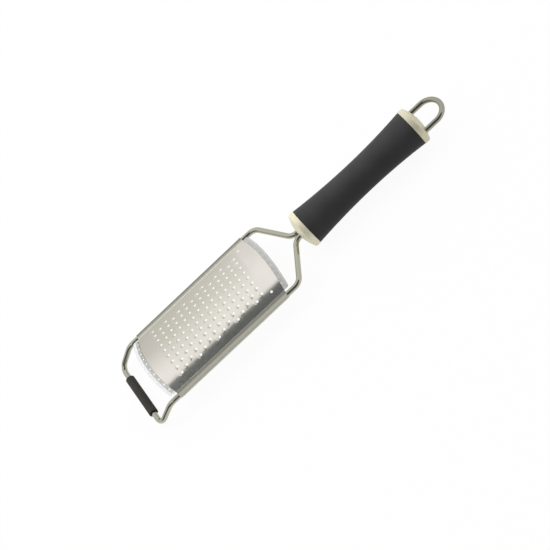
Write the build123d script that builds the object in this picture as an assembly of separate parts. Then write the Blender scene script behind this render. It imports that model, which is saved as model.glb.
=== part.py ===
from build123d import *
import math
import os

# Rasp zester: an arched, toothed steel blade rolled on to the two rails of one
# bent wire frame, with a waisted handle, a steel cap at each of its ends, a wire
# hanging loop and a rubber sleeve on the wire foot.
# Millimetres. +X runs to the hanging loop, +Y to the left and +Z up. The tool
# rests on its foot sleeve and its two handle caps, and the origin is the centre
# of its footprint on that surface.

# Clearances and the overrun of all cuts
fit_gap = 0.05
wire_slip = 0.06
overrun = 3.0

# Wire frame
wire_diameter = 4.0
rail_spacing = 61.6
neck_angle = 60.0
neck_clearance = 0.35
neck_bend_radius = 7.0
shoulder_bend_radius = 8.0
front_bare_rail = 6.7
back_bare_rail = 8.8
foot_reach = 15.6
foot_narrowing = 0.8
heel_bend_radius = 10.0
foot_corner_radius = 6.5
tang_gap = 0.3
tang_depth = 62.0

# Foot sleeve
sleeve_wall = 1.3
sleeve_end_gap = 5.0
sleeve_edge = 0.5

# Grip
grip_length = 97.0
grip_end_diameter = 28.0
grip_waist_diameter = 23.2
grip_front_length = 50.0
grip_skin = 1.8
grip_edge_radius = 0.4

# Caps at both ends of the handle
cap_step = 0.25
cap_skirt = 4.0
cap_dome = 3.6
cap_shoulder_radius = 1.0
cap_wall = 0.8

# Hanging loop
loop_edge_inset = 2.3
loop_straight = 15.5
loop_foot_land = 0.14
loop_foot_bend = 0.5
loop_foot_gap = 1.6

# Blade sheet
sheet = 0.4
edge_slope = 21.5
valley_radius = 1.5
roll_rise = 32.0
roll_wrap = 75.0
blade_bow = 3.6

# Teeth
tooth_rows = 14
tooth_columns = 8
stagger_rows = 3
row_pitch = 5.82
foot_end_margin = 11.4
handle_end_margin = 6.6
tooth_side_margin = 5.6
tooth_hole_diameter = 2.0
tooth_hole_sides = 8
tooth_wall = 0.28
tooth_height = 0.85
tooth_ramp = 2.2
tooth_mouth_set = 0.5
tooth_root = 0.15
tooth_shoulder_share = 0.55
locating_hole_diameter = 1.9

# End guards moulded on to the blade
guard_wall = 0.55
guard_side_gap = 0.5
guard_corner_radius = 1.5
handle_guard_lip = 1.4
foot_guard_lip = 2.2
tongue_side_gap = 1.0
anchor_count = 10
anchor_hole = 1.5
anchor_land = 0.55

# Radii, spacings and heights that follow from the sizes above
wire_radius = wire_diameter / 2
wire_hole = wire_diameter + 2 * wire_slip
sleeve_radius = wire_radius + sleeve_wall
cap_radius = grip_end_diameter / 2 + cap_step
cap_length = cap_skirt + cap_dome
half_rails = rail_spacing / 2
half_foot = half_rails - foot_narrowing
sleeve_length = 2 * (half_foot - foot_corner_radius - sleeve_end_gap)
tang_spacing = wire_diameter + tang_gap
half_tang = tang_spacing / 2
half_loop = cap_radius - loop_edge_inset - wire_radius
loop_foot_inset = wire_hole / 2 + loop_foot_land
loop_foot_radius = wire_radius + loop_foot_bend
tooth_hole_radius = tooth_hole_diameter / 2
axis_z = cap_radius
foot_z = sleeve_radius

# Middle line of the blade's section, measured from the level of the rails: the
# arch, the valley beside each rail and the roll round it, each tangent to the next.
slope = math.radians(edge_slope)
rise = math.radians(roll_rise)
roll_radius = wire_radius + fit_gap + sheet / 2
roll_to_valley = roll_radius + valley_radius
valley_y = half_rails - roll_to_valley * math.sin(rise)
valley_z = roll_to_valley * math.cos(rise)
arch_edge_y = valley_y - valley_radius * math.sin(slope)
arch_edge_z = valley_z - valley_radius * math.cos(slope)
arch_radius = arch_edge_y / math.sin(slope)
arch_centre_z = arch_edge_z - arch_radius * math.cos(slope)

# The pattern on the blade, and the plan of its ends
tooth_reach = arch_radius * slope - tooth_side_margin
tooth_pitch = tooth_reach / ((tooth_columns + 1) / 2 - 1 / stagger_rows)
blade_length = foot_end_margin + tooth_rows * row_pitch + handle_end_margin
bow_radius = (half_rails ** 2 + blade_bow ** 2) / (2 * blade_bow)
guard_span = 2 * (arch_edge_y - guard_side_gap)
tongue_span = guard_span - 2 * tongue_side_gap
tongue_length = anchor_hole + 2 * anchor_land
anchor_pitch = tongue_span / anchor_count

# Places along the tool, with the footprint's centre at zero
neck_turn = math.radians(neck_angle)
neck_start = cap_length + neck_clearance + neck_bend_radius * math.tan(neck_turn / 2)
neck_length = neck_start + (half_rails - half_tang) / math.tan(neck_turn)
blade_from_shoulder = shoulder_bend_radius * math.tan(neck_turn / 2) + front_bare_rail
rail_length = blade_from_shoulder + blade_length + back_bare_rail
frame_reach = neck_length + rail_length + foot_reach + sleeve_radius
loop_reach = loop_straight + half_loop + wire_radius
grip_front_x = (frame_reach - grip_length - loop_reach) / 2
grip_back_x = grip_front_x + grip_length
shoulder_x = grip_front_x - neck_length
heel_x = shoulder_x - rail_length
foot_x = heel_x - foot_reach
loop_bow_x = grip_back_x + loop_straight
blade_front_x = shoulder_x - blade_from_shoulder
blade_foot_x = blade_front_x - blade_length


def run_x(section, x_start, x_end):
    """A section drawn in Y and Z about the handle's axis, run along X."""
    plane = Plane(origin=(x_start, 0, axis_z), x_dir=(0, 1, 0), z_dir=(1, 0, 0))
    return extrude(plane * section, amount=x_end - x_start)


def wire_rod(path):
    """Round wire bent along a path."""
    start = Plane(origin=path @ 0, z_dir=path % 0)
    return sweep(start * Circle(wire_radius), path=path)


def make_wire_frame():
    """Tangs, neck, rails and foot, bent from one wire that starts and ends in the handle."""
    left_side = [
        (grip_front_x + tang_depth, half_tang, axis_z),
        (grip_front_x - neck_start, half_tang, axis_z),
        (shoulder_x, half_rails, axis_z),
        (heel_x, half_rails, axis_z),
        (foot_x, half_foot, foot_z),
    ]
    right_side = [(x, -y, z) for x, y, z in reversed(left_side)]
    bends = [neck_bend_radius, shoulder_bend_radius, heel_bend_radius, foot_corner_radius]
    return wire_rod(FilletPolyline(*left_side, *right_side, radius=bends + bends[::-1]))


def make_foot_sleeve():
    """Rubber sleeve on the middle of the foot bar."""
    middle = Plane(origin=(foot_x, 0, foot_z), z_dir=(0, 1, 0))
    tube = extrude(middle * Circle(sleeve_radius), amount=sleeve_length / 2, both=True)
    tube = chamfer(tube.edges().filter_by(GeomType.CIRCLE), sleeve_edge)
    return tube - extrude(middle * Circle(wire_hole / 2), amount=sleeve_length / 2 + overrun, both=True)


def waisted_outline(inset):
    """Half outline of the handle between its caps, reduced all round by an inset."""
    end_radius = grip_end_diameter / 2 - inset
    front = (0, end_radius)
    waist = (grip_front_length, grip_waist_diameter / 2 - inset)
    back = (grip_length, end_radius)
    return make_face([
        Line((0, 0), front),
        TangentArc(waist, front, tangent=(-1, 0)),
        TangentArc(waist, back, tangent=(1, 0)),
        Line(back, (grip_length, 0)),
        Line((grip_length, 0), (0, 0)),
    ])


def turned_on_handle(outline):
    """A half outline turned about the handle's axis, from the grip's front end."""
    return Pos(grip_front_x, 0, axis_z) * revolve(outline, axis=Axis.X)


def make_grip():
    """Soft waisted skin of the handle, with lightly rounded ends."""
    outline = waisted_outline(0)
    end_corners = outline.vertices().sort_by(Axis.Y)[-2:]
    outline = fillet(end_corners, grip_edge_radius)
    return turned_on_handle(outline) - turned_on_handle(waisted_outline(grip_skin))


def cap_body(inset):
    """A cap's outer form, reduced by an inset: a straight skirt and a domed end."""
    dome_radius = (cap_radius ** 2 + cap_dome ** 2) / (2 * cap_dome)
    centre_x = cap_length - dome_radius
    rim = cap_radius - inset
    dome = dome_radius - inset
    corner_x = centre_x + math.sqrt(dome ** 2 - rim ** 2)
    corner_angle = math.degrees(math.asin(rim / dome))
    outline = make_face([
        Line((0, 0), (0, rim)),
        Line((0, rim), (corner_x, rim)),
        CenterArc((centre_x, 0), dome, corner_angle, -corner_angle),
        Line((centre_x + dome, 0), (0, 0)),
    ])
    corner = outline.vertices().sort_by(lambda vertex: vertex.X * vertex.Y)[-1]
    return revolve(fillet(corner, cap_shoulder_radius), axis=Axis.X)


def cap_shell():
    """The pressed steel shell that both caps are made from."""
    return cap_body(0) - cap_body(cap_wall)


def at_front(cap):
    """A cap form on the handle's front end."""
    return Pos(grip_front_x, 0, axis_z) * Rot(0, 0, 180) * cap


def at_back(cap):
    """A cap form on the handle's back end."""
    return Pos(grip_back_x, 0, axis_z) * cap


def tang_slot(x_start, x_end):
    """The slot that the neck's two wires lie in, side by side."""
    return run_x(SlotCenterToCenter(tang_spacing, wire_hole), x_start, x_end)


def make_front_cap():
    """Steel cap with a slot for the two wires of the neck."""
    return at_front(cap_shell()) - tang_slot(grip_front_x - cap_length - overrun, grip_front_x)


def make_rear_cap():
    """Steel cap with a hole for each leg of the hanging loop."""
    leg_hole = run_x(Circle(wire_hole / 2), grip_back_x, grip_back_x + cap_length + overrun)
    return at_back(cap_shell()) - [Pos(0, side * half_loop, 0) * leg_hole for side in (-1, 1)]


def make_handle_core():
    """Hard core that fills the grip and both caps, and holds the ends of both wires."""
    filling = cap_body(cap_wall + fit_gap)
    core = turned_on_handle(waisted_outline(grip_skin)) + at_front(filling) + at_back(filling)
    tangs = tang_slot(grip_front_x - cap_length, grip_front_x + tang_depth + fit_gap)
    feet_start = grip_back_x + loop_foot_inset - wire_hole / 2
    feet = run_x(SlotCenterToCenter(2 * half_loop, wire_hole), feet_start, grip_back_x + cap_length)
    return core - tangs - feet


def make_hanging_loop():
    """Wire loop with a half-round bow, straight legs and feet turned in behind the rear cap."""
    foot_line_x = grip_back_x + loop_foot_inset
    turn_x = foot_line_x + loop_foot_radius
    turn_y = half_loop - loop_foot_radius
    half_gap = loop_foot_gap / 2
    centre_line = Wire([
        Line((foot_line_x, half_gap), (foot_line_x, turn_y)),
        CenterArc((turn_x, turn_y), loop_foot_radius, 180, -90),
        Line((turn_x, half_loop), (loop_bow_x, half_loop)),
        CenterArc((loop_bow_x, 0), half_loop, 90, -180),
        Line((loop_bow_x, -half_loop), (turn_x, -half_loop)),
        CenterArc((turn_x, -turn_y), loop_foot_radius, 270, -90),
        Line((foot_line_x, -turn_y), (foot_line_x, -half_gap)),
    ])
    return wire_rod(Pos(0, 0, axis_z) * centre_line)


def sheet_line(offset):
    """One face of the blade's section, from the left roll over to the right one."""
    valley_turn = edge_slope + roll_rise
    roll_turn = 90 + roll_rise + roll_wrap
    valley = valley_radius - offset
    roll = roll_radius + offset
    return [
        CenterArc((half_rails, 0), roll, -roll_wrap, roll_turn),
        CenterArc((valley_y, valley_z), valley, 270 + roll_rise, -valley_turn),
        CenterArc((0, arch_centre_z), arch_radius + offset, 90 - edge_slope, 2 * edge_slope),
        CenterArc((-valley_y, valley_z), valley, 270 + edge_slope, -valley_turn),
        CenterArc((-half_rails, 0), roll, 90 - roll_rise, roll_turn),
    ]


def sheet_section():
    """Section of the blade: one thickness of sheet from roll to roll."""
    upper = sheet_line(sheet / 2)
    lower = sheet_line(-sheet / 2)
    left_end = Line(upper[0] @ 0, lower[0] @ 0)
    right_end = Line(upper[-1] @ 1, lower[-1] @ 1)
    return make_face(upper + lower + [left_end, right_end])


def bow_x(corner_x, direction, y):
    """Where the bowed line of a blade end lies at a distance from the middle."""
    crown_x = corner_x + direction * blade_bow
    return crown_x - direction * (bow_radius - math.sqrt(bow_radius ** 2 - y ** 2))


def bow_line(corner_x, direction, shift, span):
    """A blade end's bowed line, moved outwards by a shift and cut to a span."""
    crown = (corner_x + direction * (blade_bow + shift), 0)
    end_x = bow_x(corner_x, direction, span / 2) + direction * shift
    return ThreePointArc((end_x, -span / 2), crown, (end_x, span / 2))


def bow_band(corner_x, direction, width, span):
    """Plan of a strip along a blade end, from its bowed line outwards."""
    near = bow_line(corner_x, direction, 0, span)
    far = bow_line(corner_x, direction, width, span)
    return make_face([near, far, Line(near @ 0, far @ 0), Line(near @ 1, far @ 1)])


def blade_plan():
    """Plan of the blade: straight sides, bowed ends and a tongue on each end."""
    side = half_rails + roll_radius + sheet
    front = bow_line(blade_front_x, 1, 0, rail_spacing)
    foot = bow_line(blade_foot_x, -1, 0, rail_spacing)
    right_side = Polyline(front @ 0, (blade_front_x, -side), (blade_foot_x, -side), foot @ 0)
    left_side = Polyline(front @ 1, (blade_front_x, side), (blade_foot_x, side), foot @ 1)
    plan = make_face([front, foot] + right_side.edges() + left_side.edges())
    plan += bow_band(blade_front_x, 1, tongue_length, tongue_span)
    plan += bow_band(blade_foot_x, -1, tongue_length, tongue_span)
    return plan


def on_arch(x, arc):
    """A place on the arch's upper face: X, and the distance round the arch."""
    angle = arc / arch_radius
    radius = arch_radius + sheet / 2
    y = radius * math.sin(angle)
    z = axis_z + arch_centre_z + radius * math.cos(angle)
    return Location((x, y, z), (-math.degrees(angle), 0, 0))


def tooth_places():
    """Places of the staggered teeth, with one more at the left of the first row."""
    middle = (tooth_columns - 1) / 2
    places = []
    for row in range(tooth_rows):
        x = blade_foot_x + foot_end_margin + row * row_pitch
        shift = (row % stagger_rows - 1) * tooth_pitch / stagger_rows
        columns = tooth_columns + 1 if row == 0 else tooth_columns
        for column in range(columns):
            places.append(on_arch(x, (column - middle) * tooth_pitch + shift))
    return places


def locating_places():
    """Places of the two plain holes past the last row of teeth."""
    return [on_arch(blade_front_x - handle_end_margin, side * tooth_reach) for side in (-1, 1)]


def anchor_places(corner_x, direction):
    """Places of the small square holes that an end guard is moulded through."""
    middle = (anchor_count - 1) / 2
    places = []
    for number in range(anchor_count):
        arc = (number - middle) * anchor_pitch
        y = arch_radius * math.sin(arc / arch_radius)
        x = bow_x(corner_x, direction, y) + direction * tongue_length / 2
        places.append(on_arch(x, arc))
    return places


def scoop(half_width, height, ramp):
    """A flat-sided scoop that rises from a tip on the sheet to an upright mouth."""
    shoulder = half_width * tooth_shoulder_share
    mouth = [
        (0, -half_width, -tooth_root),
        (0, half_width, -tooth_root),
        (0, shoulder, height),
        (0, -shoulder, height),
    ]
    tip = (-ramp, 0, -tooth_root)
    walls = [Face(Wire.make_polygon([tip, a, b])) for a, b in zip(mouth, mouth[1:] + mouth[:1])]
    return Solid(Shell([Face(Wire.make_polygon(mouth))] + walls))


def make_tooth():
    """A hollow scoop whose sharp mouth stands over its hole and faces the handle."""
    outer = scoop(tooth_hole_radius + tooth_wall, tooth_height, tooth_ramp)
    inner = scoop(tooth_hole_radius, tooth_height - tooth_wall, tooth_ramp - tooth_wall)
    return Pos(-tooth_mouth_set, 0, 0) * (outer - inner)


def make_blade():
    """Arched sheet rolled on to the rails, with bowed ends, holes and raised teeth."""
    end = blade_bow + tongue_length + overrun
    sheet_run = run_x(sheet_section(), blade_foot_x - end, blade_front_x + end)
    blank = sheet_run & extrude(blade_plan(), amount=2 * cap_radius)
    depth = sheet + overrun
    octagon = RegularPolygon(tooth_hole_radius, tooth_hole_sides, major_radius=False)
    tooth_hole = extrude(octagon, amount=depth, both=True)
    plain_hole = extrude(Circle(locating_hole_diameter / 2), amount=depth, both=True)
    anchor = Box(anchor_hole, anchor_hole, 2 * depth)
    cuts = [place * tooth_hole for place in tooth_places()]
    cuts += [place * plain_hole for place in locating_places()]
    cuts += [place * anchor for place in anchor_places(blade_front_x, 1)]
    cuts += [place * anchor for place in anchor_places(blade_foot_x, -1)]
    tooth = make_tooth()
    return blank - cuts + [place * tooth for place in tooth_places()]


def make_guard(blade, corner_x, direction, lip):
    """Clear plastic strip moulded round a blade end and through its anchor holes."""
    width = tongue_length + lip
    inner = arch_radius - sheet / 2 - guard_wall
    outer = arch_radius + sheet / 2 + guard_wall
    low = CenterArc((0, arch_centre_z), inner, 90 - edge_slope, 2 * edge_slope)
    high = CenterArc((0, arch_centre_z), outer, 90 - edge_slope, 2 * edge_slope)
    section = make_face([low, high, Line(low @ 0, high @ 0), Line(low @ 1, high @ 1)])
    reach = blade_bow + width + overrun
    band = run_x(section, corner_x - reach, corner_x + reach)
    plan = bow_band(corner_x, direction, width, guard_span)
    far_corners = plan.vertices().sort_by(lambda vertex: direction * vertex.X)[-2:]
    strip = band & extrude(fillet(far_corners, guard_corner_radius), amount=2 * cap_radius)
    return strip - blade


def make_parts():
    """Every piece of the tool by its plain name."""
    blade = make_blade()
    return {
        "wire_frame": make_wire_frame(),
        "foot_sleeve": make_foot_sleeve(),
        "blade": blade,
        "handle_end_guard": make_guard(blade, blade_front_x, 1, handle_guard_lip),
        "foot_end_guard": make_guard(blade, blade_foot_x, -1, foot_guard_lip),
        "front_cap": make_front_cap(),
        "grip": make_grip(),
        "handle_core": make_handle_core(),
        "rear_cap": make_rear_cap(),
        "hanging_loop": make_hanging_loop(),
    }


os.makedirs("parts", exist_ok=True)
for name, shape in make_parts().items():
    export_step(shape, f"parts/{name}.step")
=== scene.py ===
import math

import bmesh
import bpy
from bpy.props import FloatProperty, FloatVectorProperty, IntProperty, PointerProperty
from mathutils import Matrix, Vector


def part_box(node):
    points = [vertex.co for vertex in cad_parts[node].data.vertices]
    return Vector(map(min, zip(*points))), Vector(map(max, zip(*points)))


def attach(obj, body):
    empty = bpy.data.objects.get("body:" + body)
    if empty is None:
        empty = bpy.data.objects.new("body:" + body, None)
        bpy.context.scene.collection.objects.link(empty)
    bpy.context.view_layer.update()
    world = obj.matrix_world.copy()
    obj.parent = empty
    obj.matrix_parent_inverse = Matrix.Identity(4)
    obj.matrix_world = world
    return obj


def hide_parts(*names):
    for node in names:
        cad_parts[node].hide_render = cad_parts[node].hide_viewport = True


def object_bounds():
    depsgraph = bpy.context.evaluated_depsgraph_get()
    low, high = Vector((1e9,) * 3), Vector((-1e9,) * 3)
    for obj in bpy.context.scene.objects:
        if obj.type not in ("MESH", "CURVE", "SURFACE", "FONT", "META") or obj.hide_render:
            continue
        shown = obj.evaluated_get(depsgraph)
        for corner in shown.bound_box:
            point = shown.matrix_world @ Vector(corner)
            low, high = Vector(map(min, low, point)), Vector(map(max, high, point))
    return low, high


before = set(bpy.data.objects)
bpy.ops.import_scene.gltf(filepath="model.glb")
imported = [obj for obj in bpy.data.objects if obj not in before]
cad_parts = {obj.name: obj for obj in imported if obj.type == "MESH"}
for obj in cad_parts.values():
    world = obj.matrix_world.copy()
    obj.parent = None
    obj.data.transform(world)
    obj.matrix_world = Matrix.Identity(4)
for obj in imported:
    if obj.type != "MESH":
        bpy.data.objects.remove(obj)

bl_info = {
    "name": "Rasp Zester",
    "version": (1, 0, 0),
    "blender": (4, 5, 0),
    "location": "3D View > Sidebar > Zester",
    "description": "Dresses the arched rasp zester: wires, toothed blade, guards, caps and grip",
    "category": "Add Mesh",
}

# Everything is in metres in the frame's own axes: +X to the hanging loop, +Z up.
MM = 0.001
BODY = "root"
WELD = 0.0001 * MM
SHARP_ANGLE = math.radians(42.0)
FLOOR_GAP = 0.05 * MM

# Facets of the bends, arcs and rounded edges
BEND_STEP_DEGREES = 5
LEAST_BEND_STEPS = 3
GRIP_EDGE_STEPS = 5
GRIP_SIDE_STEPS = 26
CAP_HOLLOW_STEPS = 10
CAP_SHOULDER_STEPS = 8
CAP_DOME_STEPS = 22
SLEEVE_EDGE_STEPS = 6
GUARD_CORNER_STEPS = 6
GUARD_EDGE_STEPS = 3

# Where the blade's tones change: lengths, a power, and shares of its half width or of a roll's radius
ROLL_FADE = 0.4 * MM
# Width of the edge of the painted shade inside the guards
TONGUE_FADE = 0.2 * MM
TOOTHED_OUTER = 4.0 * MM
TOOTHED_INNER = 6.0 * MM
RAISED_LOW = 0.01 * MM
RAISED_HIGH = 0.10 * MM
# Painted shade on the blade's far side towards the foot
FAR_SIDE_START = 8.0 * MM
FAR_SIDE_POWER = 0.3
FAR_SIDE_LOW = -0.5
FAR_SIDE_HIGH = 0.3
# Painted light and shade across each roll: lighter on its -Y side, darker on its +Y side
SHADED_SIDE_LOW = -0.7
SHADED_SIDE_HIGH = 0.1

# Heights of a sight line, from -1 to 1, between which the room's walls brighten
WALL_LOW = 0.1
WALL_HIGH = 0.92

# Shader values: plain colours, stretches of the noise, the range that it keeps to, sockets of a mix
BLACK = (0.0, 0.0, 0.0)
WHITE = (1.0, 1.0, 1.0)
EVEN = (1.0, 1.0, 1.0)
WIRE_GRAIN = (0.25, 1.0, 1.0)
BLADE_GRAIN = (0.2, 1.0, 1.0)
CAP_GRAIN = (1.0, 0.3, 0.3)
NOISE_LOW = 0.3
NOISE_HIGH = 0.7
MIX_FACTOR = 0
MIX_FIRST = 6
MIX_SECOND = 7
MIX_RESULT = 2

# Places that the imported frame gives
cad_low, cad_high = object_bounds()
grip_low, grip_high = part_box("grip")
sleeve_low, sleeve_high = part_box("foot_sleeve")
blade_low, blade_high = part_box("blade")
rear_low, rear_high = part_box("rear_cap")
wire_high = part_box("wire_frame")[1]
loop_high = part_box("hanging_loop")[1]
axis_z = (grip_low.z + grip_high.z) / 2
foot_x = (sleeve_low.x + sleeve_high.x) / 2
foot_z = (sleeve_low.z + sleeve_high.z) / 2


def length(name, description, default):
    """A length property, given in millimetres and kept in metres."""
    return FloatProperty(name=name, description=description, default=default * MM,
                         min=0.0, unit="LENGTH", precision=5)


def place_along(name, description, default):
    """A place property, given in millimetres and kept in metres, which may be negative."""
    return FloatProperty(name=name, description=description, default=default * MM,
                         unit="LENGTH", precision=5)


def turn(name, description, default):
    """An angle property, given in degrees and kept in radians."""
    return FloatProperty(name=name, description=description, default=math.radians(default),
                         subtype="ANGLE", unit="ROTATION")


def fraction(name, description, default):
    """A plain factor."""
    return FloatProperty(name=name, description=description, default=default,
                         min=0.0, subtype="FACTOR")


def colour(name, description, default):
    """A linear colour without alpha."""
    return FloatVectorProperty(name=name, description=description, default=default,
                               size=3, min=0.0, max=1.0, subtype="COLOR")


def count(name, description, default):
    """A whole number."""
    return IntProperty(name=name, description=description, default=default, min=1)


class WireSizes(bpy.types.PropertyGroup):
    """Sizes of the bent wires."""

    diameter: length("Diameter", "Thickness of the wire", 4.0)
    sides: count("Sides", "Facets round the wire", 32)
    neck_angle: turn("Neck angle", "Turn of the wire where the neck spreads", 60.0)
    neck_start: length("Neck start", "Distance from the grip to the neck's first corner", 11.99)
    neck_bend: length("Neck bend", "Bend radius beside the cap", 7.0)
    shoulder_bend: length("Shoulder bend", "Bend radius where the neck meets the rails", 8.0)
    bare_rail: length("Bare rail", "Rail between the blade's foot end and the heel corner", 8.8)
    heel_bend: length("Heel bend", "Bend radius where the rail drops to the foot", 10.0)
    foot_corner: length("Foot corner", "Bend radius at the ends of the foot bar", 6.5)
    foot_narrowing: length("Foot narrowing", "How far each foot corner comes inwards", 0.8)
    tang_gap: length("Tang gap", "Gap between the two tangs in the handle", 0.3)
    loop_foot_bend: length("Loop foot bend", "Bend radius of the loop's turned-in feet", 2.5)
    loop_foot_gap: length("Loop foot gap", "Gap between the loop's two feet", 1.6)
    loop_foot_inset: length("Loop foot inset", "Depth of the feet behind the rear cap's rim", 2.2)


class BladeSizes(bpy.types.PropertyGroup):
    """Sizes of the toothed blade."""

    sheet: length("Sheet", "Thickness of the steel", 0.4)
    edge_slope: turn("Edge slope", "Slope of the arch at its edges", 21.5)
    valley_radius: length("Valley radius", "Radius of the valley beside each rail", 1.5)
    roll_rise: turn("Roll rise", "Slope at which the sheet climbs on to the rail", 32.0)
    roll_wrap: turn("Roll wrap", "How far the roll goes under the rail", 75.0)
    roll_gap: length("Roll gap", "Clearance between the roll and the rail", 0.05)
    valley_steps: count("Valley steps", "Facets across a valley", 6)
    roll_steps: count("Roll steps", "Facets round a roll", 22)
    bow: length("Bow", "How far each blade end bows out in the middle", 3.6)
    tongue: length("Tongue", "Length of the holed tongue that each guard holds", 2.6)
    rows: count("Rows", "Rows of teeth", 14)
    columns: count("Columns", "Teeth in a row", 8)
    stagger: count("Stagger", "Rows after which the stagger repeats", 3)
    row_pitch: length("Row pitch", "Distance from row to row", 5.82)
    foot_margin: length("Foot margin", "Distance from the foot end to the first row", 11.4)
    side_margin: length("Side margin", "Distance from the arch's edge to the outermost tooth", 5.6)
    hole: length("Hole", "Diameter of a tooth's hole", 2.0)
    plain_hole: length("Plain hole", "Diameter of the two plain holes", 1.9)
    tooth_height: length("Tooth height", "Height of a tooth's lip above the sheet", 0.45)
    tooth_ramp: length("Tooth ramp", "Length of the slope behind a lip", 1.7)
    tooth_lean: length("Tooth lean", "How far a lip leans over its hole", 0.15)
    tooth_spread: turn("Tooth spread", "Half of the turn that a lip takes round its hole", 62.0)
    anchors: count("Anchors", "Square holes in a tongue", 10)
    anchor_hole: length("Anchor hole", "Side of a square hole", 1.5)


class GuardSizes(bpy.types.PropertyGroup):
    """Sizes of the clear strips on the blade's ends."""

    wall: length("Wall", "Plastic over each face of the sheet", 0.55)
    side_gap: length("Side gap", "Distance from a guard's end to the arch's edge", 0.5)
    tongue_gap: length("Tongue gap", "Distance from a guard's end to the tongue's end", 1.0)
    corner: length("Corner", "Radius of the outer corners", 1.5)
    edge: length("Edge", "Radius of the rounded edges", 0.35)
    slices: count("Slices", "Facets along a guard", 48)
    handle_lip: length("Handle lip", "Plastic beyond the tongue at the handle", 1.4)
    foot_lip: length("Foot lip", "Plastic beyond the tongue at the foot", 2.2)


class HandleSizes(bpy.types.PropertyGroup):
    """Sizes of the grip, its caps and the foot sleeve."""

    grip_end: length("Grip end", "Diameter of the grip at both ends", 28.0)
    grip_waist: length("Grip waist", "Diameter of the grip at its waist", 23.2)
    waist_place: length("Waist place", "Distance from the grip's front end to its waist", 50.0)
    grip_skin: length("Grip skin", "Thickness of the soft skin", 1.8)
    grip_edge: length("Grip edge", "Radius of the grip's rounded ends", 0.4)
    cap_skirt: length("Cap skirt", "Straight part of a cap", 4.0)
    cap_shoulder: length("Cap shoulder", "Radius between a cap's skirt and dome", 1.0)
    cap_step: length("Cap step", "How far a cap stands proud of the grip", 0.25)
    cap_wall: length("Cap wall", "Thickness of a cap", 0.8)
    sleeve_edge: length("Sleeve edge", "Rounding of the foot sleeve's ends", 0.6)
    sleeve_bore_gap: length("Sleeve bore gap", "Clearance between the sleeve and its wire", 0.06)
    facets: count("Facets", "Steps of a full turn", 96)


class FinishesAndPaintedShade(bpy.types.PropertyGroup):
    """Colours and gloss of the finishes, with the painted light and shade of the blade's rolls, far side and
    guarded tongues.
    """

    wire: colour("Wire", "Colour of the polished wire", (0.46, 0.45, 0.37))
    loop: colour("Loop", "Colour of the hanging loop", (0.37, 0.36, 0.29))
    wire_rough: fraction("Wire roughness", "Roughness of the polished wire", 0.12)
    blade: colour("Blade", "Colour of the satin blade steel", (0.80, 0.762, 0.712))
    blade_rough: fraction("Blade roughness", "Roughness of the blade steel", 0.13)
    # Painted light and shade on the rolled edges: the lighter colour on each roll's -Y side, the darker one
    # on its +Y side
    roll: colour("Roll", "Colour of a rolled edge's lighter side", (0.78, 0.77, 0.67))
    roll_shaded: colour("Roll shaded side", "Colour of a rolled edge's duller side", (0.26, 0.25, 0.21))
    roll_rough: fraction("Roll roughness", "Roughness of the rolled edges", 0.5)
    roll_metal: fraction("Roll metal", "How much of a roll's light is mirrored rather than spread", 0.7)
    tooth_rough: fraction("Tooth roughness", "Roughness of the pressed teeth", 0.75)
    tooth_metal: fraction("Tooth metal", "How much of a tooth's light is mirrored rather than spread", 0.5)
    # Painted shade: the blade's colour on its far side towards the foot
    blade_far_shade: colour("Blade far side", "Colour of the far side towards the foot", (0.605, 0.575, 0.515))
    toothed_tint: colour("Toothed tint", "Tint of the toothed part beside the plain ends", (0.99, 1.0, 0.965))
    # Painted shade on the steel inside the guards
    guard_shade_share: fraction("Tongue share", "Brightness of the steel inside the guards", 0.75)
    cap: colour("Cap", "Colour of the front cap", (0.955, 0.912, 0.71))
    rear_cap: colour("Rear cap", "Colour of the rear cap", (0.84, 0.80, 0.62))
    cap_rough: fraction("Cap roughness", "Roughness of the polished caps", 0.62)
    cap_metal: fraction("Cap metal", "How much of a cap's light is mirrored rather than spread", 0.65)
    grip: colour("Grip", "Colour of the soft grip", (0.045, 0.045, 0.045))
    grip_rough: fraction("Grip roughness", "Roughness of the soft grip", 0.62)
    sleeve: colour("Sleeve", "Colour of the foot sleeve", (0.042, 0.040, 0.034))
    sleeve_rough: fraction("Sleeve roughness", "Roughness of the foot sleeve", 0.7)
    foot_guard: colour("Foot guard", "Tint of the clear foot guard", (0.93, 0.94, 0.94))
    handle_guard: colour("Handle guard", "Tint of the clear handle guard", (0.70, 0.71, 0.69))
    handle_guard_rough: fraction("Handle guard roughness", "Roughness of the handle guard", 0.4)
    foot_guard_rough: fraction("Foot guard roughness", "Roughness of the foot guard", 0.08)
    handle_guard_clear: fraction("Handle guard clearness", "Share of light that passes it", 0.55)
    foot_guard_clear: fraction("Foot guard clearness", "Share of light that passes it", 0.8)
    core: colour("Core", "Colour of the hidden core", (0.06, 0.06, 0.06))
    core_rough: fraction("Core roughness", "Roughness of the hidden core", 0.5)


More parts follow.
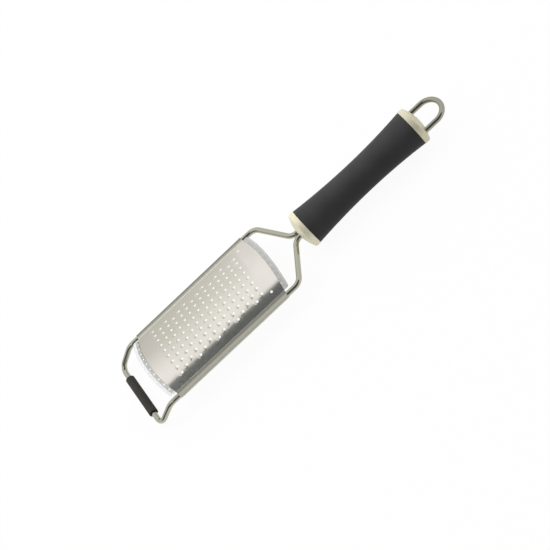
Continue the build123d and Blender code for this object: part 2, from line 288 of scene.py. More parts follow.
class StageLook(bpy.types.PropertyGroup):
    """Camera, floor and light."""

    distance: length("Distance", "Distance from the camera to its target", 1101.0)
    azimuth: turn("Azimuth", "Direction of the camera round the object", 6.847)
    elevation: turn("Elevation", "Height angle of the camera", 51.148)
    roll: turn("Roll", "Turn of the picture", -48.610)
    lens: FloatProperty(name="Lens", description="Focal length of the camera in millimetres",
                        default=106.52, min=1.0, unit="CAMERA")
    target_x: place_along("Target X", "Camera's aim along the handle, from the grip's front", -37.79)
    target_y: place_along("Target Y", "Camera's aim across the handle", -11.57)
    floor_size: length("Floor size", "Side of the square floor", 8000.0)
    floor: colour("Floor", "Colour of the floor", (0.9, 0.9, 0.9))
    bounce: colour("Bounce", "Colour of the floor's light on the tool", (0.3, 0.3, 0.3))
    shadow_share: fraction("Shadow share", "How much of the floor's shade the pictures show", 0.06)
    soft_near: fraction("Soft near", "Level of the soft light from the camera's side", 0.15)
    soft_far: fraction("Soft far", "Level of the soft light from the far side", 1.6)
    dark_azimuth: turn("Dark azimuth", "Direction of the dark side of the room", 0.0)
    dark_elevation: turn("Dark elevation", "Height angle of the dark side of the room", 54.0)
    dark_inner: turn("Dark inner", "Radius at which the dark side is full", 41.8)
    dark_outer: turn("Dark outer", "Radius at which the dark side ends", 45.2)
    dark_left: turn("Dark left", "Turn towards the foot's side at which the dark side is cut off", 12.6)
    dark_fade: turn("Dark fade", "Width of the dark side's cut edge", 0.8)
    left_azimuth: turn("Left azimuth", "Direction of the dark corner at the foot's side", -52.0)
    left_elevation: turn("Left elevation", "Height angle of the dark corner", 12.0)
    left_inner: turn("Left inner", "Radius at which the dark corner is full", 36.0)
    left_outer: turn("Left outer", "Radius at which the dark corner ends", 50.0)
    dark: colour("Dark", "Colour that metal shows from the dark side", (0.115, 0.127, 0.130))
    bright: colour("Bright", "Colour that metal shows from high in the room", (1.0, 1.0, 1.0))
    low: colour("Low", "Colour that metal shows from the room's horizon", (0.8, 0.8, 0.8))
    left: colour("Left", "Colour that metal shows from low at the foot's side", (0.16, 0.16, 0.15))
    key_power: FloatProperty(name="Key power", description="Power of the soft key lamp",
                             default=9.0, unit="POWER")
    key_size: length("Key size", "Side of the square key lamp", 1200.0)
    key_place: FloatVectorProperty(name="Key place", description="Place of the key lamp",
                                   default=(-0.7, 0.8, 1.5), size=3, subtype="TRANSLATION", unit="LENGTH")


GROUPS = {
    "zester_wires": WireSizes,
    "zester_blade": BladeSizes,
    "zester_guards": GuardSizes,
    "zester_handle": HandleSizes,
    "zester_finishes": FinishesAndPaintedShade,
    "zester_stage": StageLook,
}


# Materials
def add_node(tree, kind, links=None, **values):
    """A node of a kind, with its settings, and its sockets set or linked."""
    node = tree.nodes.new(kind)
    for name, value in values.items():
        setattr(node, name, value)
    for socket, value in (links or {}).items():
        if isinstance(value, bpy.types.NodeSocket):
            tree.links.new(value, node.inputs[socket])
        else:
            node.inputs[socket].default_value = value
    return node


def maths(tree, operation, *values):
    """The result of a math node."""
    return add_node(tree, "ShaderNodeMath", dict(enumerate(values)), operation=operation).outputs["Value"]


def vector_maths(tree, operation, output, *values):
    """A result of a vector math node: its Vector or its Value."""
    node = add_node(tree, "ShaderNodeVectorMath", dict(enumerate(values)), operation=operation)
    return node.outputs[output]


def scaled(tree, value, start, end, low=0.0, high=1.0, curve="LINEAR"):
    """A value brought from one range to another and held at its ends."""
    return add_node(tree, "ShaderNodeMapRange", {
        "Value": value,
        "From Min": start,
        "From Max": end,
        "To Min": low,
        "To Max": high,
    }, interpolation_type=curve).outputs["Result"]


def mixed(tree, factor, first, second, blend="MIX"):
    """A colour between two colours, or a colour multiplied by another."""
    values = {MIX_FACTOR: factor}
    for index, value in ((MIX_FIRST, first), (MIX_SECOND, second)):
        values[index] = value if isinstance(value, bpy.types.NodeSocket) else (*value, 1.0)
    return add_node(tree, "ShaderNodeMix", values, data_type="RGBA", blend_type=blend).outputs[MIX_RESULT]


def speckle(tree, place, stretch, scale, detail):
    """Noise on the piece's own coordinates, stretched by a scale for each axis."""
    mapping = add_node(tree, "ShaderNodeMapping", {"Vector": place, "Scale": stretch})
    noise = add_node(tree, "ShaderNodeTexNoise", {
        "Vector": mapping.outputs["Vector"],
        "Scale": scale,
        "Detail": detail,
    })
    return noise.outputs["Fac"]


def grained_material(name, tone, rough, stretch, fine_scale, fine_detail, broad_scale, broad_detail,
                     tone_change, rough_change, depth, strength):
    """A material with broad noise in its colour, and fine noise in its roughness and as a relief."""
    material = bpy.data.materials.new(name)
    material.use_nodes = True
    tree = material.node_tree
    shader = tree.nodes["Principled BSDF"]
    place = add_node(tree, "ShaderNodeTexCoord").outputs["Object"]
    fine = speckle(tree, place, stretch, fine_scale, fine_detail)
    broad = speckle(tree, place, EVEN, broad_scale, broad_detail)
    dark = [part * (1.0 - tone_change) for part in tone]
    light = [min(part * (1.0 + tone_change), 1.0) for part in tone]
    varied = mixed(tree, scaled(tree, broad, NOISE_LOW, NOISE_HIGH), dark, light)
    dulled = scaled(tree, fine, NOISE_LOW, NOISE_HIGH,
                    rough * (1.0 - rough_change), rough * (1.0 + rough_change))
    bump = add_node(tree, "ShaderNodeBump", {"Height": fine, "Distance": depth, "Strength": strength})
    tree.links.new(varied, shader.inputs["Base Color"])
    tree.links.new(dulled, shader.inputs["Roughness"])
    tree.links.new(bump.outputs["Normal"], shader.inputs["Normal"])
    return material, shader


def steel_material(name, tone, rough, stretch, scale, rough_change=0.2, metal=1.0):
    """Steel with a grain: noise stretched along the way that it was worked."""
    material, shader = grained_material(
        name, tone, rough, stretch=stretch, fine_scale=scale, fine_detail=6.0, broad_scale=45.0,
        broad_detail=2.0, tone_change=0.03, rough_change=rough_change, depth=0.004 * MM, strength=0.25)
    shader.inputs["Metallic"].default_value = metal
    return material


def rubber_material(name, tone, rough, scale, depth):
    """Soft matt rubber with a fine grain."""
    material, shader = grained_material(
        name, tone, rough, stretch=EVEN, fine_scale=scale, fine_detail=5.0, broad_scale=60.0,
        broad_detail=3.0, tone_change=0.12, rough_change=0.08, depth=depth, strength=0.5)
    shader.inputs["Specular IOR Level"].default_value = 0.25
    return material


def clear_material(name, tone, rough, clearness):
    """Clear moulded plastic with faint flow marks."""
    material, shader = grained_material(
        name, tone, rough, stretch=EVEN, fine_scale=900.0, fine_detail=3.0, broad_scale=120.0,
        broad_detail=2.0, tone_change=0.02, rough_change=0.15, depth=0.004 * MM, strength=0.15)
    shader.inputs["Transmission Weight"].default_value = clearness
    shader.inputs["IOR"].default_value = 1.3
    return material


def sheet_tone(tree, x, y, base, look, layout):
    """The sheet's colour: tinted among the teeth, with painted shade inside the guards and at the far foot
    corner.
    """
    edge_y = layout.section.edge_y
    # Painted shade: darker towards the far side and towards the foot
    to_foot = scaled(tree, x, layout.front_x - FAR_SIDE_START, layout.foot_x)
    to_far = scaled(tree, y, FAR_SIDE_LOW * edge_y, FAR_SIDE_HIGH * edge_y)
    corner = maths(tree, "MULTIPLY", maths(tree, "POWER", to_foot, FAR_SIDE_POWER), to_far)
    middle = maths(tree, "SUBTRACT", x, (layout.front_x + layout.foot_x) / 2)
    from_middle = maths(tree, "ABSOLUTE", middle)
    half_teeth = layout.blade.rows * layout.blade.row_pitch / 2
    toothed = scaled(tree, from_middle, half_teeth + TOOTHED_OUTER, half_teeth - TOOTHED_INNER)
    square = maths(tree, "POWER", maths(tree, "ABSOLUTE", y), 2.0)
    bow_line = maths(tree, "MULTIPLY_ADD", square, 0.5 / layout.bow_radius, from_middle)
    bow_end = (layout.front_x - layout.foot_x) / 2 + layout.blade.bow
    # Painted shade: the steel of the tongues inside the guards is darkened
    lit = scaled(tree, bow_line, bow_end, bow_end + TONGUE_FADE, 1.0, look.guard_shade_share)
    tone = mixed(tree, corner, base, look.blade_far_shade)
    tone = mixed(tree, toothed, tone, look.toothed_tint, "MULTIPLY")
    return mixed(tree, lit, BLACK, tone)


def roll_tone(tree, y, look, section):
    """A rolled edge's colour, with painted light on its -Y side and painted shade on its +Y side."""
    rail_y = maths(tree, "MULTIPLY", maths(tree, "SIGN", y), section.half_rails)
    from_rail = maths(tree, "SUBTRACT", y, rail_y)
    # Painted shade: each roll darkens from its -Y side to its +Y side, as if lit from the camera's side
    shaded_side = scaled(tree, from_rail, SHADED_SIDE_LOW * section.roll, SHADED_SIDE_HIGH * section.roll)
    return mixed(tree, shaded_side, look.roll, look.roll_shaded)


def raised_mask(tree, place, layout):
    """1 on the teeth's lips, which stand above the arch, and 0 on the sheet."""
    section = layout.section
    offset = vector_maths(tree, "SUBTRACT", "Vector", place, (0.0, 0.0, axis_z + section.arch_z))
    spoke = vector_maths(tree, "MULTIPLY", "Vector", offset, (0.0, 1.0, 1.0))
    top = section.arch + layout.blade.sheet / 2
    distance = vector_maths(tree, "LENGTH", "Value", spoke)
    return scaled(tree, distance, top + RAISED_LOW, top + RAISED_HIGH)


def blade_material(name, look, layout):
    """Satin steel, duller and less mirrored on the rolled edges and the teeth."""
    material = steel_material(name, look.blade, look.blade_rough, BLADE_GRAIN, scale=1500.0)
    tree = material.node_tree
    sockets = tree.nodes["Principled BSDF"].inputs
    base = sockets["Base Color"].links[0].from_socket
    rough = sockets["Roughness"].links[0].from_socket
    place = add_node(tree, "ShaderNodeTexCoord").outputs["Object"]
    parts = add_node(tree, "ShaderNodeSeparateXYZ", {"Vector": place}).outputs
    edge_y = layout.section.edge_y
    rolled = scaled(tree, maths(tree, "ABSOLUTE", parts["Y"]), edge_y - ROLL_FADE, edge_y + ROLL_FADE)
    raised = raised_mask(tree, place, layout)
    # The sheet's and the rolls' colours carry painted light and shade
    sheet = sheet_tone(tree, parts["X"], parts["Y"], base, look, layout)
    roll = roll_tone(tree, parts["Y"], look, layout.section)
    tree.links.new(mixed(tree, rolled, sheet, roll), sockets["Base Color"])
    for socket, plain, on_roll, on_tooth in (
        ("Roughness", rough, look.roll_rough, look.tooth_rough),
        ("Metallic", 1.0, look.roll_metal, look.tooth_metal),
    ):
        value = scaled(tree, rolled, 0.0, 1.0, plain, on_roll)
        value = scaled(tree, raised, 0.0, 1.0, value, on_tooth)
        tree.links.new(value, sockets[socket])
    return material


# Pieces
def linked(name, data):
    """An object in the scene that shows a mesh, a lamp or a camera."""
    thing = bpy.data.objects.new(name, data)
    bpy.context.scene.collection.objects.link(thing)
    return thing


def finished_piece(name, bm, material, slot, *replaced):
    """Makes an object from a bmesh, with smooth faces, sharp corners and its place in the frame."""
    bmesh.ops.remove_doubles(bm, verts=bm.verts, dist=WELD)
    bmesh.ops.recalc_face_normals(bm, faces=bm.faces)
    for face in bm.faces:
        face.smooth = True
    mesh = bpy.data.meshes.new(name)
    bm.to_mesh(mesh)
    bm.free()
    mesh.set_sharp_from_angle(angle=SHARP_ANGLE)
    mesh.materials.append(material)
    piece = linked(name, mesh)
    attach(piece, BODY)
    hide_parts(*replaced)
    return piece


def of_kind(parts, kind):
    """The parts of one kind, such as BMVert, among mixed mesh parts."""
    return [part for part in parts if isinstance(part, kind)]


def spun(bm, parts, centre, axis, angle, steps, merge=False):
    """Spins mesh parts about an axis and gives back the last ones made."""
    made = bmesh.ops.spin(bm, geom=parts, cent=centre, axis=axis, angle=angle, steps=steps,
                          use_merge=merge, use_normal_flip=False, use_duplicate=False)
    return made["geom_last"]


def arc_radius(reach, rise):
    """Radius of an arc that rises by an amount at a reach from its lowest or highest point."""
    return (reach ** 2 + rise ** 2) / (2 * rise)


# Wire bending: a ring is drawn along straight runs and spun round each bend.
def draw_run(bm, ring, shift):
    """Draws a ring along a straight run, unless the run has no length."""
    if shift.length < WELD:
        return ring
    made = bmesh.ops.extrude_edge_only(bm, edges=of_kind(ring, bmesh.types.BMEdge))["geom"]
    verts = of_kind(made, bmesh.types.BMVert)
    bmesh.ops.translate(bm, verts=verts, vec=shift)
    edges = of_kind(made, bmesh.types.BMEdge)
    return verts + [edge for edge in edges if all(vert in verts for vert in edge.verts)]


def draw_wire(left, left_bends, wires):
    """A round wire through the left half's corners and their mirror images, closed at its ends."""
    corners = left + [Vector((corner.x, -corner.y, corner.z)) for corner in reversed(left)]
    bends = left_bends + left_bends[::-1]
    bm = bmesh.new()
    heading = (corners[1] - corners[0]).normalized()
    start = Matrix.Translation(corners[0]) @ heading.to_track_quat("Z", "Y").to_matrix().to_4x4()
    disc = bmesh.ops.create_circle(bm, cap_ends=True, segments=wires.sides,
                                   radius=wires.diameter / 2, matrix=start)["verts"]
    ring = disc + list(bm.edges)
    here = corners[0]
    for corner, following, bend in zip(corners[1:], corners[2:], bends):
        onward = (following - corner).normalized()
        angle = heading.angle(onward)
        axis = heading.cross(onward).normalized()
        reach = bend * math.tan(angle / 2)
        bend_start = corner - heading * reach
        ring = draw_run(bm, ring, bend_start - here)
        steps = max(LEAST_BEND_STEPS, round(math.degrees(angle) / BEND_STEP_DEGREES))
        ring = spun(bm, ring, bend_start + axis.cross(heading) * bend, axis, angle, steps)
        heading = onward
        here = corner + onward * reach
    ring = draw_run(bm, ring, corners[-1] - here)
    bmesh.ops.contextual_create(bm, geom=of_kind(ring, bmesh.types.BMEdge))
    return bm


class Outline:
    """An outline drawn in X and Y from point to point, and spun about the X axis."""

    def __init__(self, x, y):
        self.bm = bmesh.new()
        self.vert = self.bm.verts.new((x, y, 0.0))

    def line(self, x, y):
        """Draws on to a point."""
        self.vert = bmesh.ops.extrude_vert_indiv(self.bm, verts=[self.vert])["verts"][0]
        self.vert.co = (x, y, 0.0)

    def arc(self, x, y, angle, steps):
        """Draws round a centre by an angle."""
        last = spun(self.bm, [self.vert], (x, y, 0.0), (0.0, 0.0, 1.0), angle, steps)
        self.vert = of_kind(last, bmesh.types.BMVert)[0]

    def turned(self, facets, place):
        """Spins the outline a full turn and moves it to its place."""
        bm = self.bm
        bmesh.ops.remove_doubles(bm, verts=bm.verts, dist=WELD)
        spun(bm, list(bm.verts) + list(bm.edges), (0.0, 0.0, 0.0), (1.0, 0.0, 0.0), math.tau, facets, True)
        bmesh.ops.remove_doubles(bm, verts=bm.verts, dist=WELD)
        bmesh.ops.transform(bm, matrix=place, verts=bm.verts)
        return bm


def grip_side(waist, drop, run, edge):
    """Radius of a long arc of the grip's side, its turn up to the rounded end and its height there."""
    radius = arc_radius(run, drop)
    angle = math.asin((run - edge) / radius)
    return radius, angle, waist + radius * (1.0 - math.cos(angle))


def waisted_grip(handle, length_x):
    """Outline of the grip's skin: rounded ends, two long arcs that meet at the waist, and its bore."""
    end = handle.grip_end / 2
    waist = handle.grip_waist / 2
    edge = handle.grip_edge
    front_run = handle.waist_place
    front_arc, front_turn, front_height = grip_side(waist, end - waist, front_run, edge)
    back_arc, back_turn, back_height = grip_side(waist, end - waist, length_x - front_run, edge)
    bore = end - handle.grip_skin
    skin = Outline(0.0, bore)
    skin.line(0.0, front_height - edge)
    skin.arc(edge, front_height - edge, -math.pi / 2, GRIP_EDGE_STEPS)
    skin.arc(front_run, waist + front_arc, front_turn, GRIP_SIDE_STEPS)
    skin.arc(front_run, waist + back_arc, back_turn, GRIP_SIDE_STEPS)
    skin.arc(length_x - edge, back_height - edge, -math.pi / 2, GRIP_EDGE_STEPS)
    skin.line(length_x, bore)
    skin.line(front_run, waist - handle.grip_skin)
    skin.line(0.0, bore)
    return skin


def cap_outline(handle, rim, cap_length):
    """Outline of a pressed cap: inner dome, rim, skirt, rounded shoulder and outer dome."""
    dome = arc_radius(rim, cap_length - handle.cap_skirt)
    centre = cap_length - dome
    shoulder = handle.cap_shoulder
    wall = handle.cap_wall
    bore = rim - wall
    shoulder_x = centre + math.sqrt((dome - shoulder) ** 2 - (rim - shoulder) ** 2)
    dome_turn = math.asin((rim - shoulder) / (dome - shoulder))
    cap = Outline(centre + dome - wall, 0.0)
    cap.arc(centre, 0.0, math.asin(bore / (dome - wall)), CAP_HOLLOW_STEPS)
    cap.line(0.0, bore)
    cap.line(0.0, rim)
    cap.line(shoulder_x, rim)
    cap.arc(shoulder_x, rim - shoulder, dome_turn - math.pi / 2, CAP_SHOULDER_STEPS)
    cap.arc(centre, 0.0, -dome_turn, CAP_DOME_STEPS)
    return cap


def sleeve_outline(handle, sleeve_length, radius, bore):
    """Outline of the foot sleeve, from end to end."""
    half = sleeve_length / 2
    edge = handle.sleeve_edge
    sleeve = Outline(-half, bore)
    sleeve.line(-half, radius - edge)
    sleeve.arc(edge - half, radius - edge, -math.pi / 2, SLEEVE_EDGE_STEPS)
    sleeve.line(half - edge, radius)
    sleeve.arc(half - edge, radius - edge, -math.pi / 2, SLEEVE_EDGE_STEPS)
    sleeve.line(half, bore)
    sleeve.line(-half, bore)
    return sleeve


class SheetSection:
    """The blade's section: arch, valley and roll, followed by the distance round it."""

    def __init__(self, blade, half_rails, wire_radius):
        self.half_rails = half_rails
        self.slope = blade.edge_slope
        self.rise = blade.roll_rise
        self.valley = blade.valley_radius
        self.roll = wire_radius + blade.roll_gap + blade.sheet / 2
        reach = self.roll + self.valley
        self.valley_y = half_rails - reach * math.sin(self.rise)
        self.valley_z = reach * math.cos(self.rise)
        self.edge_y = self.valley_y - self.valley * math.sin(self.slope)
        self.arch = self.edge_y / math.sin(self.slope)
        self.arch_z = self.valley_z - self.valley * math.cos(self.slope) - self.arch * math.cos(self.slope)
        self.arch_length = self.arch * self.slope
        self.valley_length = self.valley * (self.slope + self.rise)
        self.roll_length = self.roll * (math.pi / 2 + self.rise + blade.roll_wrap)

    def round_arch(self, y):
        """The distance round the arch to a width from the middle."""
        return self.arch * math.asin(y / self.arch)

    def place(self, distance, height):
        """Y and Z at a distance round the section and a height off the sheet's middle."""
        side = math.copysign(1.0, distance)
        far = abs(distance)
        if far <= self.arch_length:
            angle = far / self.arch
            y = (self.arch + height) * math.sin(angle)
            z = self.arch_z + (self.arch + height) * math.cos(angle)
        elif far <= self.arch_length + self.valley_length:
            angle = self.slope - (far - self.arch_length) / self.valley
            y = self.valley_y - (self.valley - height) * math.sin(angle)
            z = self.valley_z - (self.valley - height) * math.cos(angle)
        else:
            angle = (far - self.arch_length - self.valley_length) / self.roll - self.rise
            y = self.half_rails + (self.roll + height) * math.sin(angle)
            z = (self.roll + height) * math.cos(angle)
        return side * y, axis_z + z


class BladeLayout:
    """The blade's flat mesh: its lines along X and round the section, and the places of its holes."""

    tongue_steps = 3
    foot_sheet_steps = 6
    handle_sheet_steps = 4

    def __init__(self, blade, guards, section, front_x, foot_line):
        self.blade = blade
        self.section = section
        self.front_x = front_x
        self.foot_x = foot_line
        reach = section.arch_length - blade.side_margin
        self.pitch = reach / ((blade.columns + 1) / 2 - 1 / blade.stagger)
        self.cell_lines = 2 * blade.stagger
        self.pattern_lines = (blade.rows + 1) * self.cell_lines
        self.unit_y = self.pitch / self.cell_lines
        self.unit_x = blade.row_pitch / self.cell_lines
        self.pattern_start = foot_line + blade.foot_margin - blade.row_pitch / 2
        self.pattern_end = self.pattern_start + (blade.rows + 1) * blade.row_pitch
        tongue_y = section.edge_y - guards.side_gap - guards.tongue_gap
        self.tongue_arc = section.round_arch(tongue_y)
        self.anchor_pitch = 2 * tongue_y / blade.anchors
        self.bow_radius = arc_radius(section.half_rails, blade.bow)

    def end_share(self, x):
        """How fully a place follows the bowed end: 0 among the teeth, 1 from the end line on."""
        if x < self.pattern_start:
            return min(1.0, (self.pattern_start - x) / (self.pattern_start - self.foot_x))
        if x > self.pattern_end:
            return min(1.0, (x - self.pattern_end) / (self.front_x - self.pattern_end))
        return 0.0

    def bowed(self, x, y):
        """X of a point once the blade's ends are bowed outwards."""
        out = self.blade.bow - self.bow_radius + math.sqrt(self.bow_radius ** 2 - y ** 2)
        side = 1.0 if x > self.pattern_start else -1.0
        return x + side * self.end_share(x) * max(0.0, out)

    def lines_along(self):
        """The mesh lines across X: tongue, plain sheet, pattern, plain sheet and tongue."""
        land = (self.blade.tongue - self.blade.anchor_hole) / 2
        steps = [self.blade.tongue, self.blade.tongue - land, land]
        plain = self.pattern_start - self.foot_x
        margin = self.front_x - self.pattern_end
        foot_steps = range(self.foot_sheet_steps)
        handle_steps = range(1, self.handle_sheet_steps + 1)
        lines = [self.foot_x - step for step in steps]
        lines += [self.foot_x + plain * number / self.foot_sheet_steps for number in foot_steps]
        lines += [self.pattern_start + self.unit_x * number for number in range(self.pattern_lines + 1)]
        lines += [self.pattern_end + margin * number / self.handle_sheet_steps for number in handle_steps]
        lines += [self.front_x + step for step in reversed(steps)]
        return lines

    def arch_lines(self):
        """Distances of the mesh lines on one half of the arch, on the pattern's own lattice."""
        number = round(self.section.arch_length / self.unit_y)
        return [self.unit_y * line for line in range(number)] + [self.section.arch_length]

    def tongue_knots(self):
        """The numbers and distances of the lines that the tongue's square holes and end hold in place."""
        hole = self.blade.anchor_hole
        distances = []
        for number in range(self.blade.anchors // 2):
            centre = (number + 0.5) * self.anchor_pitch
            distances += [centre - hole / 2, centre + hole / 2]
        distances.append(self.tongue_arc)
        knots = [(round(distance / self.unit_y), distance) for distance in distances]
        lattice = self.arch_lines()
        return [(0, 0.0)] + knots + [(len(lattice) - 1, lattice[-1])]

    def tongue_lines(self, knots):
        """The arch's lines, moved to meet the square holes and the tongue's end."""
        lines = []
        for (first, low), (last, high) in zip(knots, knots[1:]):
            lines += [low + (high - low) * step / (last - first) for step in range(last - first)]
        return lines + [self.section.arch_length]

    def edge_lines(self):
        """Distances of the mesh lines across the valley and round the roll."""
        lines = []
        start = self.section.arch_length
        for span, steps in (
            (self.section.valley_length, self.blade.valley_steps),
            (self.section.roll_length, self.blade.roll_steps),
        ):
            lines += [start + span * (step + 1) / steps for step in range(steps)]
            start += span
        return lines

    def hole_places(self):
        """Centres of the toothed cells and of the two plain holes, in cell lines."""
        blade = self.blade
        teeth = []
        for row in range(blade.rows):
            shift = (row % blade.stagger - 1) * (self.cell_lines // blade.stagger)
            columns = blade.columns + 1 if row == 0 else blade.columns
            for column in range(columns):
                teeth.append((row, round((column - (blade.columns - 1) / 2) * self.cell_lines) + shift))
        outermost = round((self.section.arch_length - blade.side_margin) / self.unit_y)
        plain = [(blade.rows, side * outermost) for side in (-1, 1)]
        return teeth, plain

    def in_tongue_gap(self, from_end, line, knots):
        """Whether a face lies beside a tongue or in one of its square holes."""
        if from_end >= self.tongue_steps:
            return False
        near = min(abs(line), abs(line + 1))
        numbers = [knot[0] for knot in knots]
        if near >= numbers[-2]:
            return True
        squares = zip(numbers[1:-2:2], numbers[2:-2:2])
        return from_end == self.tongue_steps // 2 and any(low <= near < high for low, high in squares)

    def in_cell(self, along, line, cells):
        """Whether a face lies in the square of a tooth or of a plain hole."""
        row = (along - self.tongue_steps - self.foot_sheet_steps) // self.cell_lines
        reach = self.cell_lines // 2
        return any((row, centre) in cells for centre in range(line - reach + 1, line + reach + 1))

    def flat_sheet(self):
        """The flat sheet with its cells and square holes left open."""
        lines = self.lines_along()
        knots = self.tongue_knots()
        lattice = self.arch_lines() + self.edge_lines()
        tongue = self.tongue_lines(knots) + self.edge_lines()
        last = len(lines) - 1
        half = len(lattice) - 1
        across = [-value for value in reversed(lattice[1:])] + lattice
        snapped = [-value for value in reversed(tongue[1:])] + tongue
        bm = bmesh.new()
        bmesh.ops.create_grid(bm, x_segments=last, y_segments=2 * half, size=1.0)
        spots = {}
        for vert in bm.verts:
            along = round((vert.co.x + 1.0) / 2 * last)
            line = round((vert.co.y + 1.0) / 2 * (2 * half))
            spots[vert] = (along, line - half)
            pull = self.end_share(lines[along])
            vert.co = (lines[along], across[line] + pull * (snapped[line] - across[line]), 0.0)
        teeth, plain = self.hole_places()
        cells = set(teeth + plain)
        cut = []
        for face in bm.faces:
            along = min(spots[vert][0] for vert in face.verts)
            line = min(spots[vert][1] for vert in face.verts)
            from_end = min(along, last - 1 - along)
            if self.in_tongue_gap(from_end, line, knots) or self.in_cell(along, line, cells):
                cut.append(face)
        bmesh.ops.delete(bm, geom=cut, context="FACES")
        return bm


class ToothCell:
    """One square of the sheet with its round hole, and a raised lip where it is a tooth."""

    ring_shares = (0.66, 0.40, 0.20, 0.08, 0.0)
    ramp_power = 1.6
    first_inset = 0.1 * WELD

    def __init__(self, layout):
        self.blade = layout.blade
        self.half_x = layout.blade.row_pitch / 2
        self.half_y = layout.pitch / 2
        self.divisions = layout.cell_lines

    def on_circle(self, across, along):
        """The direction from the hole's centre that belongs to a point of the square's border."""
        if abs(across) >= abs(along):
            side = math.copysign(1.0, across)
            angle = math.pi / 4 * along / across
            return Vector((side * math.cos(angle), side * math.sin(angle)))
        side = math.copysign(1.0, along)
        angle = math.pi / 4 * across / along
        return Vector((side * math.sin(angle), side * math.cos(angle)))

    def lift(self, spot, radius):
        """The share of the lip's height and lean that a point gets."""
        distance = spot.length
        fall = max(0.0, distance - radius) / self.blade.tooth_ramp
        spread = math.acos(max(-1.0, min(1.0, -spot.x / distance))) / self.blade.tooth_spread
        if fall >= 1.0 or spread >= 1.0:
            return 0.0
        return (1.0 - fall) ** self.ramp_power * math.cos(spread * math.pi / 2)

    def settle(self, seat, outwards, hole, raised):
        """The place of a mesh point between the hole, at 0, and the border, at 1."""
        radius = hole / 2
        border = Vector((seat[0] * self.half_x, seat[1] * self.half_y))
        rim = self.on_circle(seat[0], seat[1]) * radius
        spot = rim + (border - rim) * outwards
        if not raised:
            return (spot.x, spot.y, 0.0)
        part = self.lift(spot, radius)
        return (spot.x + part * self.blade.tooth_lean, spot.y, part * self.blade.tooth_height)

    def mesh(self, name, hole, raised):
        """The cell's mesh, flat but for its lip."""
        bm = bmesh.new()
        bmesh.ops.create_grid(bm, x_segments=1, y_segments=1, size=1.0)
        bmesh.ops.subdivide_edges(bm, edges=bm.edges, cuts=self.divisions - 1)
        middle = list(bm.faces)[0]
        seats = [(vert.co.x, vert.co.y) for vert in middle.verts]
        for vert, seat in zip(middle.verts, seats):
            vert.co = (seat[0] * self.half_x, seat[1] * self.half_y, 0.0)
        for outwards in self.ring_shares:
            bmesh.ops.inset_individual(bm, faces=[middle], thickness=self.first_inset)
            for vert, seat in zip(middle.verts, seats):
                vert.co = self.settle(seat, outwards, hole, raised)
        bmesh.ops.delete(bm, geom=[middle], context="FACES_ONLY")
        mesh = bpy.data.meshes.new(name)
        bm.to_mesh(mesh)
        bm.free()
        return mesh


def insert_cells(bm, mesh, places, layout):
    """Sets a cell's mesh into its openings in the flat sheet."""
    for row, centre in places:
        for vert in bm.verts:
            vert.tag = True
        bm.from_mesh(mesh)
        made = [vert for vert in bm.verts if not vert.tag]
        x = layout.pattern_start + (row + 0.5) * layout.blade.row_pitch
        bmesh.ops.translate(bm, verts=made, vec=(x, centre * layout.unit_y, 0.0))
    bpy.data.meshes.remove(mesh)


def thicken(bm, low, high):
    """Turns a flat sheet into a closed slab between two heights."""
    under = list(bm.verts)
    made = bmesh.ops.extrude_face_region(bm, geom=list(bm.faces))["geom"]
    bmesh.ops.translate(bm, verts=of_kind(made, bmesh.types.BMVert), vec=(0.0, 0.0, high))
    bmesh.ops.translate(bm, verts=under, vec=(0.0, 0.0, low))


def shape_to_blade(bm, layout):
    """Bends a flat form to the blade's section and bows its ends."""
    for vert in bm.verts:
        y, z = layout.section.place(vert.co.y, vert.co.z)
        vert.co = (layout.bowed(vert.co.x, y), y, z)


def guard_strip(layout, guards, side, lip):
    """The clear strip on one end of the blade: side 1 is the handle end, side -1 the foot end."""
    blade = layout.blade
    end_x = layout.front_x if side > 0 else layout.foot_x
    half_span = layout.section.round_arch(layout.section.edge_y - guards.side_gap)
    width = blade.tongue + lip
    bm = bmesh.new()
    bmesh.ops.create_grid(bm, x_segments=1, y_segments=1, size=1.0)
    bmesh.ops.scale(bm, verts=bm.verts, vec=(width / 2, half_span, 1.0))
    bmesh.ops.translate(bm, verts=bm.verts, vec=(end_x + side * width / 2, 0.0, 0.0))
    far = [vert for vert in bm.verts if side * (vert.co.x - end_x) > width / 2]
    bmesh.ops.bevel(bm, geom=far, offset=guards.corner, segments=GUARD_CORNER_STEPS, profile=0.5,
                    affect="VERTICES", material=-1)
    thick = blade.sheet / 2 + guards.wall
    thicken(bm, -thick, thick)
    rims = [edge for edge in bm.edges
            if len(edge.link_faces) == 2 and abs(edge.calc_face_angle()) > SHARP_ANGLE]
    bmesh.ops.bevel(bm, geom=rims, offset=guards.edge, segments=GUARD_EDGE_STEPS, profile=0.5,
                    affect="EDGES", material=-1)
    for number in range(1, guards.slices):
        level = -half_span + 2 * half_span * number / guards.slices
        bmesh.ops.bisect_plane(bm, geom=list(bm.verts) + list(bm.edges) + list(bm.faces), dist=WELD,
                               plane_co=(0.0, level, 0.0), plane_no=(0.0, 1.0, 0.0))
    shape_to_blade(bm, layout)
    return bm


def blade_layout(scene):
    """The blade's layout from the frame and the blade's settings."""
    blade = scene.zester_blade
    radius = scene.zester_wires.diameter / 2
    section = SheetSection(blade, wire_high.y - radius, radius)
    front_x = blade_high.x - blade.bow - blade.tongue
    foot_line = blade_low.x + blade.bow + blade.tongue
    return BladeLayout(blade, scene.zester_guards, section, front_x, foot_line)


